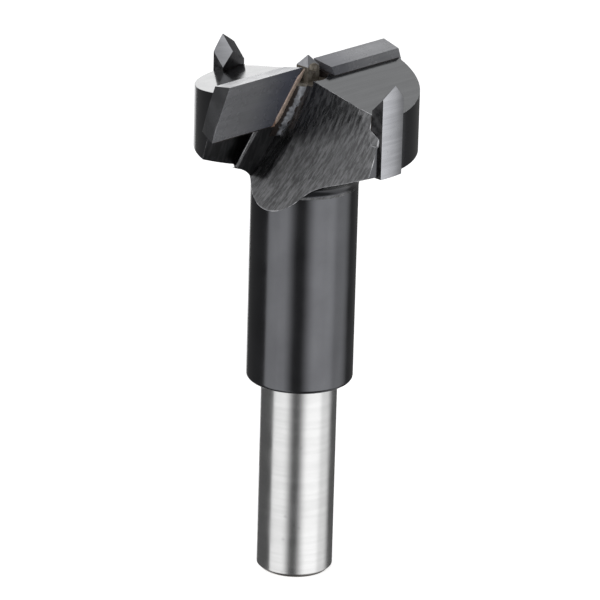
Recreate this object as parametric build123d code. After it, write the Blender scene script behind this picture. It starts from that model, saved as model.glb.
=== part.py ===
from build123d import *
import math
import os

# Millimetres. The shank's end face lies on z = 0 and the tool's axis is +Z.
# The main cutting edges run along X, the edge on +X faces +Y.
# Everything on the head comes in pairs, half a turn apart.

# Shank
SHANK_R = 5.0
SHANK_CHAMFER = 0.6
SHANK_LENGTH = 26.6

# Neck, and the flare that carries the head
NECK_R = 7.0
NECK_CHAMFER = 0.6
NECK_LENGTH = 26.8
FLARE_FILLET_R = 2.2
FLARE_WIDTH = 1.45
FLARE_HEIGHT = 2.15

# Head
CUTTING_R = 15.0
RIM_CLEARANCE = 0.5
UNDERSIDE_RISE = 2.55
RIM_CHAMFER = 0.25
EDGE_HEIGHT = 11.56
RELIEF_DEG = 11.0
CUTTER_PROUD = 1.0

# Main cutter plates, lying in a plane that leans back from the cutting edge
RAKE_DEG = 20.9
RAKE_AHEAD = 0.92
CUTTER_THICKNESS = 2.55
CUTTER_HEIGHT = 8.84
CUTTER_INNER_X = 1.9
CUTTER_INNER_SPREAD = 2.05
CUTTER_SIDE_CLEARANCE_DEG = 6.0
CUTTER_BRAZE = 0.15
CUTTER_END_BRAZE = 0.45
STEEL_BEHIND_RAKE = 0.1

# Gullets
WALL_X = 1.3
WALL_ARC_R = 26.0
WALL_ARC_DROP = 2.16
WEB_TOP_DROP = 1.06
WEB_HEIGHT = 8.8
WEB_TOP_REACH = 2.35
WEB_TOP_TURN_DEG = 64.0
WEB_FOOT_REACH = 2.3
WEB_FOOT_TURN_DEG = 22.0
STEP_X = 6.3
STEP_DEPTH = 1.5
STEP_UNDERCUT = 0.7
STEP_DRIFT_DEG = 13.5
END_BEVEL_INSET = 3.5
END_BEVEL_DROP = 2.67
END_BEVEL_WIDTH = 2.5
END_BEVEL_HEIGHT = 3.5

# Spurs
SPUR_PROUD = 0.49
SPUR_BELOW_RIM = 0.2
SPUR_TRAIL_X = -1.46
SPUR_WIDTH = 3.88
SPUR_TIP_INSET = 2.12
SPUR_THICKNESS = 2.0
SPUR_LEAD_DROP = 1.85
SPUR_TRAIL_DROP = 1.4
SPUR_INWARD_SLOPE = 1.0
SPUR_BRAZE = 0.15

# Centre point
POINT_PROUD = 1.06
POINT_CONE_HEIGHT = 1.27
POINT_HALF = 1.05
POINT_STEM_HALF = 0.8
POINT_STEM_LENGTH = 2.4
SPOT_R = 2.6
SPOT_DEPTH = 1.08

# Heights and radii that follow from the sizes above
LEAN = math.radians(RAKE_DEG)
RAKE_TAN = math.tan(LEAN)
RELIEF_TAN = math.tan(math.radians(RELIEF_DEG))
NECK_TOP_Z = SHANK_LENGTH + NECK_LENGTH
FLARE_R = NECK_R + FLARE_WIDTH
FLARE_Z = NECK_TOP_Z + FLARE_HEIGHT
HEAD_R = CUTTING_R - RIM_CLEARANCE
RIM_BOTTOM_Z = FLARE_Z + UNDERSIDE_RISE
EDGE_Z = RIM_BOTTOM_Z + EDGE_HEIGHT
LAND_Z = EDGE_Z - RAKE_AHEAD * RELIEF_TAN
ROOF_Z = LAND_Z - CUTTER_PROUD
WALL_ARC_Z = EDGE_Z - WALL_ARC_DROP
WEB_TOP_Z = EDGE_Z - WEB_TOP_DROP
WEB_FOOT_Z = WEB_TOP_Z - WEB_HEIGHT
END_BEVEL_Z = ROOF_Z - END_BEVEL_DROP
END_BEVEL_FOOT_Z = END_BEVEL_Z - END_BEVEL_HEIGHT
SPUR_LEAD_X = SPUR_TRAIL_X + SPUR_WIDTH
SPUR_TIP_X = SPUR_TRAIL_X + SPUR_TIP_INSET
SPUR_TIP_Z = EDGE_Z + SPUR_PROUD
SPUR_BOTTOM_Z = RIM_BOTTOM_Z - SPUR_BELOW_RIM
POINT_TIP_Z = EDGE_Z + POINT_PROUD
POINT_BASE_Z = POINT_TIP_Z - POINT_CONE_HEIGHT
SPOT_Z = ROOF_Z - SPOT_DEPTH
POINT_FOOT_Z = SPOT_Z - POINT_STEM_LENGTH

# Reach of the cutting solids past the stock
REACH = 1.5 * CUTTING_R
HIGH_Z = POINT_TIP_Z + CUTTER_THICKNESS
LOW_Z = WALL_ARC_Z - 0.9 * WALL_ARC_R


def turned_stock():
    """Shank, neck, flare and head as one turned solid."""
    bend = FLARE_FILLET_R * (1.0 - math.cos(math.radians(45)))
    rise = FLARE_FILLET_R * math.sin(math.radians(45))
    half_bend = FLARE_FILLET_R * (1.0 - math.cos(math.radians(22.5)))
    half_rise = FLARE_FILLET_R * math.sin(math.radians(22.5))
    with BuildPart() as stock:
        with BuildSketch(Plane.XZ):
            with BuildLine():
                Polyline(
                    (0, 0),
                    (SHANK_R - SHANK_CHAMFER, 0),
                    (SHANK_R, SHANK_CHAMFER),
                    (SHANK_R, SHANK_LENGTH),
                    (NECK_R - NECK_CHAMFER, SHANK_LENGTH),
                    (NECK_R, SHANK_LENGTH + NECK_CHAMFER),
                    (NECK_R, NECK_TOP_Z),
                )
                ThreePointArc(
                    (NECK_R, NECK_TOP_Z),
                    (NECK_R + half_bend, NECK_TOP_Z + half_rise),
                    (NECK_R + bend, NECK_TOP_Z + rise),
                )
                Polyline(
                    (NECK_R + bend, NECK_TOP_Z + rise),
                    (FLARE_R, FLARE_Z),
                    (HEAD_R - RIM_CHAMFER, RIM_BOTTOM_Z),
                    (HEAD_R, RIM_BOTTOM_Z + RIM_CHAMFER),
                    (HEAD_R, HIGH_Z),
                    (0, HIGH_Z),
                    (0, 0),
                )
            make_face()
        revolve(axis=Axis.Z)
    return stock.part


def roof():
    """Everything under the two relief planes that fall away from the X axis."""
    drop = REACH * RELIEF_TAN
    with BuildPart() as under:
        with BuildSketch(Plane.YZ):
            Polygon(
                (-REACH, -1),
                (REACH, -1),
                (REACH, ROOF_Z - drop),
                (0, ROOF_Z),
                (-REACH, ROOF_Z - drop),
                align=None,
            )
        extrude(amount=REACH, both=True)
    return under.part


def under_land(height):
    """Everything under the relief plane of the plate on +X."""
    drop = REACH * RELIEF_TAN
    with BuildPart() as under:
        with BuildSketch(Plane.YZ):
            Polygon(
                (-REACH, LOW_Z),
                (REACH, LOW_Z),
                (REACH, height + drop),
                (-REACH, height - drop),
                align=None,
            )
        extrude(amount=REACH, both=True)
    return under.part


def leading_side():
    """Space in front of the leaning face of the wing on -X."""
    def face_y(z):
        return -RAKE_AHEAD + (EDGE_Z - z) * RAKE_TAN + STEEL_BEHIND_RAKE

    with BuildPart() as space:
        with BuildSketch(Plane.YZ):
            Polygon(
                (-REACH, LOW_Z),
                (face_y(LOW_Z), LOW_Z),
                (face_y(HIGH_Z), HIGH_Z),
                (-REACH, HIGH_Z),
                align=None,
            )
        extrude(amount=REACH, both=True)
    return space.part


def trailing_side():
    """Space before the wall that is upright at the top and flares at its foot."""
    centre_x = -WALL_X - WALL_ARC_R
    angle = math.asin((WALL_ARC_Z - LOW_Z) / WALL_ARC_R)
    foot = (centre_x + WALL_ARC_R * math.cos(angle), LOW_Z)
    middle = (
        centre_x + WALL_ARC_R * math.cos(angle / 2),
        WALL_ARC_Z - WALL_ARC_R * math.sin(angle / 2),
    )
    with BuildPart() as space:
        with BuildSketch(Plane.XZ):
            with BuildLine():
                Line((-WALL_X, HIGH_Z), (-WALL_X, WALL_ARC_Z))
                ThreePointArc((-WALL_X, WALL_ARC_Z), middle, foot)
                Polyline(foot, (-REACH, LOW_Z), (-REACH, HIGH_Z), (-WALL_X, HIGH_Z))
            make_face()
        extrude(amount=REACH, both=True)
    return space.part


def seam_point(z):
    """Corner of the pocket at the plate's inner end, on the leaning face."""
    down = (EDGE_Z - z) / math.cos(LEAN)
    slope = CUTTER_INNER_SPREAD / CUTTER_HEIGHT
    return Vector(
        -(CUTTER_INNER_X - CUTTER_END_BRAZE + slope * down),
        -RAKE_AHEAD + (EDGE_Z - z) * RAKE_TAN,
        0,
    )


def web_section(z, reach, turn_deg):
    """Corners of the web at one height, from the seam into the wall."""
    turn = math.radians(turn_deg)
    seam = seam_point(z)
    crease = seam + Vector(math.cos(turn), -math.sin(turn), 0) * reach
    back = crease + Vector(1.5, 2.0, 0)
    hidden = seam + Vector(0, 1.0, 0)
    return [(p.X, p.Y) for p in (seam, crease, back, hidden)]


def corner_web():
    """Steel left in the corner between the wall and the plate's inner end."""
    with BuildPart() as web:
        with BuildSketch(Plane.XY.offset(WEB_FOOT_Z)):
            Polygon(*web_section(WEB_FOOT_Z, WEB_FOOT_REACH, WEB_FOOT_TURN_DEG), align=None)
        with BuildSketch(Plane.XY.offset(WEB_TOP_Z)):
            Polygon(*web_section(WEB_TOP_Z, WEB_TOP_REACH, WEB_TOP_TURN_DEG), align=None)
        loft(ruled=True)
    return web.part


def step_cut():
    """Step that sets the leaning face back below the outer part of the plate."""
    low = Plane(
        origin=(0, -RAKE_AHEAD + STEEL_BEHIND_RAKE, EDGE_Z),
        x_dir=(1, 0, 0),
        z_dir=(0, math.sin(LEAN), -math.cos(LEAN)),
    )
    drift = math.tan(math.radians(STEP_DRIFT_DEG))
    with BuildPart() as cut:
        with BuildSketch(low.offset(CUTTER_HEIGHT + CUTTER_BRAZE)):
            Polygon(
                (-REACH, 0.5),
                (-REACH, -STEP_DEPTH),
                (-STEP_X + STEP_UNDERCUT, -STEP_DEPTH),
                (-STEP_X, 0.0),
                (-STEP_X, 0.5),
                align=None,
            )
        extrude(amount=REACH, dir=(-drift, math.sin(LEAN), -math.cos(LEAN)))
    return cut.part


def end_bevel():
    """Shallow facet where the wall meets the spur's side."""
    start_y = -HEAD_R + END_BEVEL_INSET
    top = Vector(-WALL_X - 0.05, start_y, END_BEVEL_Z)
    foot = Vector(-WALL_X - 0.5, start_y - END_BEVEL_WIDTH, END_BEVEL_FOOT_Z)
    inner = Vector(-WALL_X + 0.1, start_y - 0.8 * END_BEVEL_WIDTH, END_BEVEL_Z - 0.5)
    normal = (foot - top).cross(inner - top).normalized()
    if normal.X > 0:
        normal = -normal
    frame = Plane(origin=top, x_dir=(foot - top).normalized(), z_dir=normal)
    with BuildPart() as cut:
        with BuildSketch(frame):
            Rectangle(2 * REACH, 2 * REACH)
        extrude(amount=3.0)
    run = math.atan2(END_BEVEL_HEIGHT, END_BEVEL_WIDTH)
    limit = Plane(
        origin=top,
        x_dir=(1, 0, 0),
        z_dir=(0, -math.sin(run), math.cos(run)),
    )
    with BuildPart() as above:
        with BuildSketch(limit):
            Rectangle(2 * REACH, 2 * REACH)
        extrude(amount=REACH)
    floor = Pos(0, 0, END_BEVEL_FOOT_Z) * Box(
        2 * REACH, 2 * REACH, HIGH_Z, align=(Align.CENTER, Align.CENTER, Align.MIN)
    )
    return cut.part & above.part & floor


def gullet():
    """The gullet between the leaning face on -X and the wall of the other wing."""
    wall = trailing_side()
    corner = leading_side() & wall
    return (corner - corner_web()) + (step_cut() & wall) + end_bevel()


def plate(grow_back, grow_down, grow_in, land_height):
    """Main cutter plate on +X, or the same plate grown by its braze."""
    frame = Plane(
        origin=(0, RAKE_AHEAD, EDGE_Z),
        x_dir=(1, 0, 0),
        z_dir=(0, math.cos(LEAN), -math.sin(LEAN)),
    )
    slope = CUTTER_INNER_SPREAD / CUTTER_HEIGHT
    down = CUTTER_HEIGHT + grow_down
    above = 3.0
    inner = CUTTER_INNER_X - grow_in
    with BuildPart() as blank:
        with BuildSketch(frame):
            Polygon(
                (inner - slope * above, -above),
                (REACH, -above),
                (REACH, down),
                (inner + slope * down, down),
                align=None,
            )
        extrude(amount=-(CUTTER_THICKNESS + grow_back))
    return blank.part & under_land(land_height)


def side_clearance():
    """Space inside the plate's ground outer side."""
    turn = math.tan(math.radians(CUTTER_SIDE_CLEARANCE_DEG))
    corner_x = math.sqrt(CUTTING_R ** 2 - RAKE_AHEAD ** 2)
    back = -2 * CUTTER_THICKNESS
    frame = Plane(
        origin=(0, RAKE_AHEAD, EDGE_Z),
        x_dir=(1, 0, 0),
        z_dir=(0, math.sin(LEAN), math.cos(LEAN)),
    )
    with BuildPart() as keep:
        with BuildSketch(frame.offset(-REACH)):
            Polygon(
                (0, 1),
                (corner_x + turn, 1),
                (corner_x + turn * back, back),
                (0, back),
                align=None,
            )
        extrude(amount=2 * REACH)
    return keep.part


def main_cutter():
    """Carbide plate with its cutting edge, land and side clearance."""
    limit = Cylinder(CUTTING_R, HIGH_Z, align=(Align.CENTER, Align.CENTER, Align.MIN))
    return plate(0.0, 0.0, 0.0, LAND_Z) & side_clearance() & limit


def cutter_pocket():
    """Room in the steel for the plate and its braze."""
    return plate(CUTTER_BRAZE, CUTTER_BRAZE, CUTTER_END_BRAZE, HIGH_Z)


def cutter_braze():
    """Filler behind, under and at the inner end of the plate."""
    filled = plate(CUTTER_BRAZE, CUTTER_BRAZE, CUTTER_END_BRAZE, ROOF_Z)
    hidden = Cylinder(HEAD_R, HIGH_Z, align=(Align.CENTER, Align.CENTER, Align.MIN))
    return (filled & hidden) - plate(0.0, 0.0, 0.0, HIGH_Z)


def spur_block(grow, low_z):
    """Spur blank against the rim, or the pocket for it."""
    inner_y = -(CUTTING_R - SPUR_THICKNESS) + grow
    width = SPUR_LEAD_X + grow - SPUR_TRAIL_X
    return Pos(SPUR_TRAIL_X, -REACH, low_z) * Box(
        width, REACH + inner_y, HIGH_Z - low_z, align=(Align.MIN, Align.MIN, Align.MIN)
    )


def spur():
    """Carbide spur with a point on the cutting circle."""
    lead_x = SPUR_LEAD_X
    profile = [
        (SPUR_TIP_X, SPUR_TIP_Z),
        (lead_x, SPUR_TIP_Z - SPUR_LEAD_DROP),
        (lead_x, SPUR_BOTTOM_Z - REACH),
        (SPUR_TRAIL_X, SPUR_BOTTOM_Z - REACH),
        (SPUR_TRAIL_X, SPUR_TIP_Z - SPUR_TRAIL_DROP),
    ]
    start = Plane(origin=(0, -CUTTING_R, 0), x_dir=(1, 0, 0), z_dir=(0, -1, 0))
    slope = math.atan(SPUR_INWARD_SLOPE)
    with BuildPart() as point:
        with BuildSketch(start):
            Polygon(*profile, align=None)
        extrude(amount=REACH, dir=(0, math.cos(slope), -math.sin(slope)))
    limit = Cylinder(CUTTING_R, HIGH_Z, align=(Align.CENTER, Align.CENTER, Align.MIN))
    return spur_block(0.0, SPUR_BOTTOM_Z) & limit & point.part


def spur_braze():
    """Filler behind the spur and at its leading side."""
    rim = Cylinder(HEAD_R, HIGH_Z, align=(Align.CENTER, Align.CENTER, Align.MIN))
    filled = spur_block(SPUR_BRAZE, SPUR_BOTTOM_Z) & rim & roof()
    return filled - spur_block(0.0, SPUR_BOTTOM_Z)


def centre_point():
    """Four-sided point on a square stem."""
    with BuildPart() as point:
        with BuildSketch(Plane.XY.offset(POINT_BASE_Z)):
            Rectangle(2 * POINT_HALF, 2 * POINT_HALF)
        with BuildSketch(Plane.XY.offset(POINT_TIP_Z)):
            Rectangle(0.04, 0.04)
        loft()
        with BuildSketch(Plane.XY.offset(SPOT_Z)):
            Rectangle(2 * POINT_HALF, 2 * POINT_HALF)
        extrude(amount=POINT_BASE_Z - SPOT_Z)
        with BuildSketch(Plane.XY.offset(POINT_FOOT_Z)):
            Rectangle(2 * POINT_STEM_HALF, 2 * POINT_STEM_HALF)
        extrude(amount=SPOT_Z - POINT_FOOT_Z)
    return point.part


def half_turn(shape):
    return Rot(0, 0, 180) * shape


def body():
    """Steel shank, neck and head with its gullets and pockets."""
    steel = turned_stock() & roof()
    for cut in (gullet(), cutter_pocket(), spur_block(SPUR_BRAZE, SPUR_BOTTOM_Z - 1.0)):
        steel = steel - cut - half_turn(cut)
    spot = Pos(0, 0, SPOT_Z) * Cylinder(
        SPOT_R, HIGH_Z, align=(Align.CENTER, Align.CENTER, Align.MIN)
    )
    stem = Pos(0, 0, POINT_FOOT_Z) * Box(
        2 * POINT_STEM_HALF,
        2 * POINT_STEM_HALF,
        HIGH_Z,
        align=(Align.CENTER, Align.CENTER, Align.MIN),
    )
    return steel - spot - stem


pieces = {"body": body(), "centre_point": centre_point()}
pairs = {
    "main_cutter": main_cutter(),
    "cutter_braze": cutter_braze(),
    "spur": spur(),
    "spur_braze": spur_braze(),
}
for name, shape in pairs.items():
    pieces[name + "_1"] = shape
    pieces[name + "_2"] = half_turn(shape)

os.makedirs("parts", exist_ok=True)
for name, shape in pieces.items():
    solids = shape.solids()
    assert len(solids) == 1, name
    export_step(solids[0], f"parts/{name}.step")
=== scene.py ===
import math
import random

import bmesh
import bpy
from bpy.props import FloatProperty, FloatVectorProperty, IntProperty, PointerProperty
from mathutils import Matrix, Vector


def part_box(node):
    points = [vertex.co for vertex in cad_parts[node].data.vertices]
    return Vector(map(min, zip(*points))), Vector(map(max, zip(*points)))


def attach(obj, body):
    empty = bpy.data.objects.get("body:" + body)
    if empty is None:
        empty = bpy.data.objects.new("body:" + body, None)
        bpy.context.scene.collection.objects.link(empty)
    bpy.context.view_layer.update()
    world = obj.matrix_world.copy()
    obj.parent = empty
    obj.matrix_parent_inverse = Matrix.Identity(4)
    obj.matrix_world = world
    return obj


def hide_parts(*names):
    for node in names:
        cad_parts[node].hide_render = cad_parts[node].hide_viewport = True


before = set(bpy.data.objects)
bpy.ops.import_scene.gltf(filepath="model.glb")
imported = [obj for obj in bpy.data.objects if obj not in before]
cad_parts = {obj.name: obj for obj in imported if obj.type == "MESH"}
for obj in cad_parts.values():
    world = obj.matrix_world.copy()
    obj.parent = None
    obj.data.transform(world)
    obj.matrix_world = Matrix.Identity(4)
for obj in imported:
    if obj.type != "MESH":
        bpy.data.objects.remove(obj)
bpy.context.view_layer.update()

bl_info = {
    "name": "Forstner bit",
    "version": (1, 0, 0),
    "blender": (4, 5, 0),
    "location": "View3D > Sidebar > Forstner bit",
    "description": "Builds the carbide tipped forstner bit and its studio around the packed frame",
    "category": "Object",
}

MM = 0.001
HALF_TURN = Matrix.Rotation(math.pi, 4, "Z")
SEED = 11
SAME_POINT = 0.0005 * MM
SHARP_ANGLE = math.radians(30)

# The body's materials, in the order of their indices
TURNED, MILLED, GROUND, BRIGHT, EDGE_WEAR_AND_HIGHLIGHT, FILLER_RUN, BLACK_FLOOR, STAINED = range(8)

# Heights and distances that clear the whole head, for cutting tools
ABOVE_ALL = 80 * MM
PAST_RIM = 22 * MM

# Clearance of the gullet behind the rake face, the spurs' sides and the spot round the point
RAKE_CLEARANCE = 0.1 * MM
SPUR_SIDES = (-1.46 * MM, 2.42 * MM)
SPUR_DEPTH = 2.0 * MM
SPOT_RADIUS = 2.6 * MM
SPOT_DEPTH = 1.08 * MM

# Edges that rub most, whose wide bevel carries wear and a painted highlight: below this height by
# the step, and between these by the spur
RUBBED_STEP_TOP = 60.9 * MM
RUBBED_FACET = (61 * MM, 65.6 * MM)

# Middle and radii of the lump of flux, in millimetres
FLUX_MIDDLE = (0.0, -1.08, 69.28)
FLUX_RADII = (0.76, 0.44, 0.56)


# Sizes and colours

def length_of(name, description, default):
    """A length, in metres."""
    return FloatProperty(name=name, description=description, default=default, unit="LENGTH")


def angle_of(name, description, degrees):
    """An angle, given in degrees and kept in radians."""
    return FloatProperty(
        name=name, description=description, default=math.radians(degrees), subtype="ANGLE")


def colour_of(name, description, default):
    return FloatVectorProperty(
        name=name, description=description, default=default, subtype="COLOR", size=3)


class BitSizes(bpy.types.PropertyGroup):
    """Sizes of the bit, in metres."""

    shank_radius: length_of("Shank radius", "Radius of the ground shank", 5.0 * MM)
    shank_length: length_of("Shank length", "Length of the ground shank", 26.6 * MM)
    neck_radius: length_of("Neck radius", "Radius of the blackened neck", 7.0 * MM)
    neck_top: length_of("Neck top", "Height at which the neck starts to flare", 53.4 * MM)
    flare_radius: length_of(
        "Flare radius", "Radius at which the flare meets the head's underside", 8.45 * MM)
    flare_height: length_of("Flare height", "Height of the flare above the neck", 2.15 * MM)
    flare_fillet: length_of("Flare fillet", "Radius of the bend between neck and flare", 2.2 * MM)
    head_radius: length_of("Head radius", "Radius of the head's steel rim", 14.5 * MM)
    cutting_radius: length_of(
        "Cutting radius", "Radius of the circle that the spurs cut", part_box("spur_2")[1].y)
    rim_bottom: length_of("Rim bottom", "Height of the rim's lower edge", 58.1 * MM)
    edge_height: length_of(
        "Cutting edge", "Height of the main cutting edges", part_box("main_cutter_1")[1].z)
    relief: angle_of("Relief", "Fall of the head's top behind each cutting edge", 11.0)
    rake: angle_of("Rake", "Lean of the plates back from their cutting edge", 20.9)
    rake_ahead: length_of(
        "Rake ahead", "Distance of the cutting edge ahead of the axis", 0.92 * MM)
    cutter_proud: length_of(
        "Plate above steel", "Height of the plates above the steel behind them", 1.0 * MM)
    cutter_thickness: length_of("Plate thickness", "Thickness of the carbide plates", 2.55 * MM)
    cutter_height: length_of(
        "Plate height", "Height of the carbide plates along their face", 8.84 * MM)
    cutter_inner: length_of(
        "Plate inner end", "Distance of the plates' inner end from the axis", 1.9 * MM)
    cutter_spread: length_of(
        "Plate inner spread", "How far the inner end moves out over its height", 2.05 * MM)
    side_clearance: angle_of("Side clearance", "Turn of the plates' ground outer side", 6.0)
    braze_gap: length_of("Braze gap", "Filler behind and under the plates and spurs", 0.15 * MM)
    braze_end: length_of(
        "Braze at the inner end", "Filler at the inner end of the plates", 0.45 * MM)
    wall_offset: length_of("Gullet wall", "Distance of the gullet's wall from the axis", 1.3 * MM)
    wall_arc: length_of("Gullet arc", "Radius of the flare at the gullet's foot", 26.0 * MM)
    edge_round: length_of("Edge round", "Width of the most rubbed edges of the steel", 0.16 * MM)
    mill_depth: length_of(
        "Mill marks", "Depth of the cutter's marks on the gullet walls", 0.012 * MM)
    mill_pitch: length_of(
        "Mill pitch", "Distance between mesh lines across the mill marks", 0.13 * MM)
    turning_steps: IntProperty(
        name="Turning steps", description="Steps around the turned surfaces",
        default=192, min=48)


class BitFinish(bpy.types.PropertyGroup):
    """Colours of the bit's finishes."""

    blackened: colour_of(
        "Blackened steel", "Oil-blackened turned steel", (0.112, 0.114, 0.122))
    milled: colour_of(
        "Blackened milled steel", "Blackened walls of the gullets", (0.125, 0.126, 0.130))
    satin: colour_of(
        "Ground top", "Satin ground steel on top of the wings", (0.125, 0.128, 0.132))
    bright: colour_of("Bright shank", "Ground steel of the shank", (0.60, 0.60, 0.60))
    carbide: colour_of("Carbide", "Ground carbide of plates and spurs", (0.36, 0.365, 0.385))
    filler: colour_of("Braze", "Copper-coloured filler in the seams", (0.62, 0.40, 0.29))
    bead: colour_of(
        "Braze bead", "Tan skin of the beads at the plates' inner ends", (1.0, 0.78, 0.65))


class StudioSettings(bpy.types.PropertyGroup):
    """Place and lens of the camera."""

    azimuth: angle_of("Camera turn", "Turn of the camera's right-hand axis from +X", -45.753)
    elevation: angle_of("Camera height angle", "How far the camera looks down", 20.039)
    roll: angle_of("Camera roll", "Roll of the camera about its line of sight", 1.604)
    distance: length_of(
        "Camera distance", "Distance from the shank's end, along the line of sight", 0.7909)
    aim_right: length_of(
        "Aim right", "Shank's end to the right of the picture's middle", -0.799 * MM)
    aim_up: length_of("Aim up", "Shank's end above the picture's middle", -34.954 * MM)
    lens: FloatProperty(
        name="Lens", description="Focal length on a 36 mm sensor",
        default=358.54, subtype="DISTANCE_CAMERA")


# Modelling helpers

def deselect():
    if bpy.context.object and bpy.context.object.mode != "OBJECT":
        bpy.ops.object.mode_set(mode="OBJECT")
    bpy.ops.object.select_all(action="DESELECT")


def pick(piece):
    """Makes one object the only selected and the active one."""
    deselect()
    piece.select_set(True)
    bpy.context.view_layer.objects.active = piece


def edit(piece):
    """Opens a piece in edit mode with all of it selected."""
    pick(piece)
    bpy.ops.object.mode_set(mode="EDIT")
    bpy.ops.mesh.select_mode(type="VERT")
    bpy.ops.mesh.select_all(action="SELECT")


def select_parts(piece, kind, test):
    """Opens a piece in edit mode with only the edges or faces that pass the test selected."""
    edit(piece)
    bpy.ops.mesh.select_mode(type=kind)
    bpy.ops.mesh.select_all(action="DESELECT")
    bpy.ops.object.mode_set(mode="OBJECT")
    for part in piece.data.edges if kind == "EDGE" else piece.data.polygons:
        part.select = test(part)
    bpy.ops.object.mode_set(mode="EDIT")


def add_rings(piece, rings, least):
    """Divides the edges that climb more than the least height, by rings."""

    def climbs(edge):
        start, end = (piece.data.vertices[index].co for index in edge.vertices)
        return abs(start.z - end.z) > least

    select_parts(piece, "EDGE", climbs)
    bpy.ops.mesh.subdivide_edgering(number_cuts=rings, interpolation="LINEAR")
    bpy.ops.object.mode_set(mode="OBJECT")


def turn_normals():
    """Turns all faces of the piece in edit mode outwards, and leaves edit mode."""
    bpy.ops.mesh.select_all(action="SELECT")
    bpy.ops.mesh.normals_make_consistent(inside=False)
    bpy.ops.object.mode_set(mode="OBJECT")


def face_outwards(piece):
    """Merges points that coincide and turns all faces outwards."""
    edit(piece)
    bpy.ops.mesh.remove_doubles(threshold=SAME_POINT)
    turn_normals()


def close_slits(piece):
    """Closes the hair-fine slits that merging close points can leave."""
    edit(piece)
    bpy.ops.mesh.select_all(action="DESELECT")
    bpy.ops.mesh.select_non_manifold(
        use_wire=False, use_multi_face=False, use_non_contiguous=False, use_verts=False)
    bpy.ops.mesh.fill_holes(sides=0)
    turn_normals()


def take(name):
    """Names the object that was just added, and returns it."""
    piece = bpy.context.object
    piece.name = name
    return piece


def prism(name, corners, travel):
    """A flat outline through the given corners, extruded along travel."""
    deselect()
    bpy.ops.mesh.primitive_circle_add(vertices=len(corners), radius=MM, fill_type="NGON")
    piece = take(name)
    for vertex, corner in zip(piece.data.vertices, corners):
        vertex.co = corner
    edit(piece)
    bpy.ops.mesh.extrude_region_move(TRANSFORM_OT_translate={"value": travel})
    face_outwards(piece)
    return piece


def block(name, low, high):
    """A box between two corners."""
    deselect()
    middle = [(a + b) / 2 for a, b in zip(low, high)]
    size = [b - a for a, b in zip(low, high)]
    bpy.ops.mesh.primitive_cube_add(size=1, location=middle, scale=size)
    bpy.ops.object.transform_apply(location=True, rotation=True, scale=True)
    return take(name)


def round_bar(name, radius, low, high, steps):
    """A cylinder on the axis between two heights."""
    deselect()
    bpy.ops.mesh.primitive_cylinder_add(
        vertices=steps, radius=radius, depth=high - low, location=(0, 0, (low + high) / 2))
    bpy.ops.object.transform_apply(location=True, rotation=True, scale=True)
    return take(name)


def slice_off(piece, point, normal):
    """Cuts away what lies on the side that the normal points to."""
    edit(piece)
    bpy.ops.mesh.bisect(
        plane_co=point, plane_no=Vector(normal).normalized(), use_fill=True, clear_outer=True,
        threshold=0.00001 * MM)
    bpy.ops.object.mode_set(mode="OBJECT")


def towards(normal, way):
    """The normal of a cut, pointing to the side that way points to."""
    return normal if normal.dot(Vector(way)) > 0 else -normal


def half_turned(piece, name):
    """A copy half a turn round the axis, with its own mesh."""
    pick(piece)
    bpy.ops.object.duplicate(linked=False)
    copy = take(name)
    copy.data.transform(HALF_TURN)
    return copy


def combine(piece, tool, operation):
    """Applies a Boolean modifier with the tool, which is then removed."""
    pick(piece)
    modifier = piece.modifiers.new("Shape", "BOOLEAN")
    modifier.operation = operation
    modifier.solver = "MANIFOLD"
    modifier.object = tool
    bpy.ops.object.modifier_apply(modifier=modifier.name)
    bpy.data.objects.remove(tool)
    if not piece.data.polygons:
        raise RuntimeError(f"{piece.name} has no faces left")


def keep_within(piece, radius):
    """Grinds a piece of the head down to a circle about the axis."""
    combine(piece, round_bar("limit", radius, 50 * MM, 75 * MM, 512), "INTERSECT")
    face_outwards(piece)


def mark_outer_edges(piece, share=None):
    """Weights the sharp outer edges, which the bevel then breaks by their share of its width."""
    mesh = bmesh.new()
    mesh.from_mesh(piece.data)
    weights = mesh.edges.layers.float.new("bevel_weight_edge")
    for edge in mesh.edges:
        if edge.is_convex and edge.calc_face_angle(0.0) > SHARP_ANGLE:
            middle = (edge.verts[0].co + edge.verts[1].co) / 2
            edge[weights] = share(middle) if share else 1.0
    mesh.to_mesh(piece.data)
    mesh.free()


def break_edges(piece, width, share=None, wear_and_highlight=-1):
    """Rounds the sharp outer edges and shades the rest smooth."""
    mark_outer_edges(piece, share)
    pick(piece)
    modifier = piece.modifiers.new("Broken edges", "BEVEL")
    modifier.width = width
    modifier.segments = 2
    modifier.limit_method = "WEIGHT"
    modifier.use_clamp_overlap = False
    modifier.material = wear_and_highlight
    bpy.ops.object.modifier_apply(modifier=modifier.name)
    bpy.ops.object.shade_smooth_by_angle(angle=SHARP_ANGLE)
    modifier = piece.modifiers.new("Flat faces", "WEIGHTED_NORMAL")
    modifier.keep_sharp = True
    bpy.ops.object.modifier_apply(modifier=modifier.name)


def coat(piece, *materials):
    """Gives a piece its materials, in the order of their indices."""
    piece.data.materials.clear()
    for material in materials:
        piece.data.materials.append(material)


def finish_piece(piece, slot, *nodes):
    """Gives a piece its body and hides the CAD nodes it stands for; the slot is not used."""
    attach(piece, "root")
    if nodes:
        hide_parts(*nodes)


def finish_pair(piece, other_name, slot, *nodes):
    """Finishes a piece and its half-turned twin, which stand for a node each or for none."""
    other = half_turned(piece, other_name)
    finish_piece(piece, slot, *nodes[:1])
    finish_piece(other, slot, *nodes[1:])


# Node helpers

def feed(tree, socket, value):
    """Links a socket to a value that is a socket too, or else sets it."""
    if isinstance(value, bpy.types.NodeSocket):
        tree.links.new(value, socket)
    else:
        socket.default_value = value


def new_node(tree, kind, settings=None, **inputs):
    """Adds a node with its properties and its inputs, by name or, as in _0, by index."""
    made = tree.nodes.new(kind)
    for key, value in (settings or {}).items():
        setattr(made, key, value)
    for key, value in inputs.items():
        feed(tree, made.inputs[int(key[1:]) if key[0] == "_" else key.replace("_", " ")], value)
    return made


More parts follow.
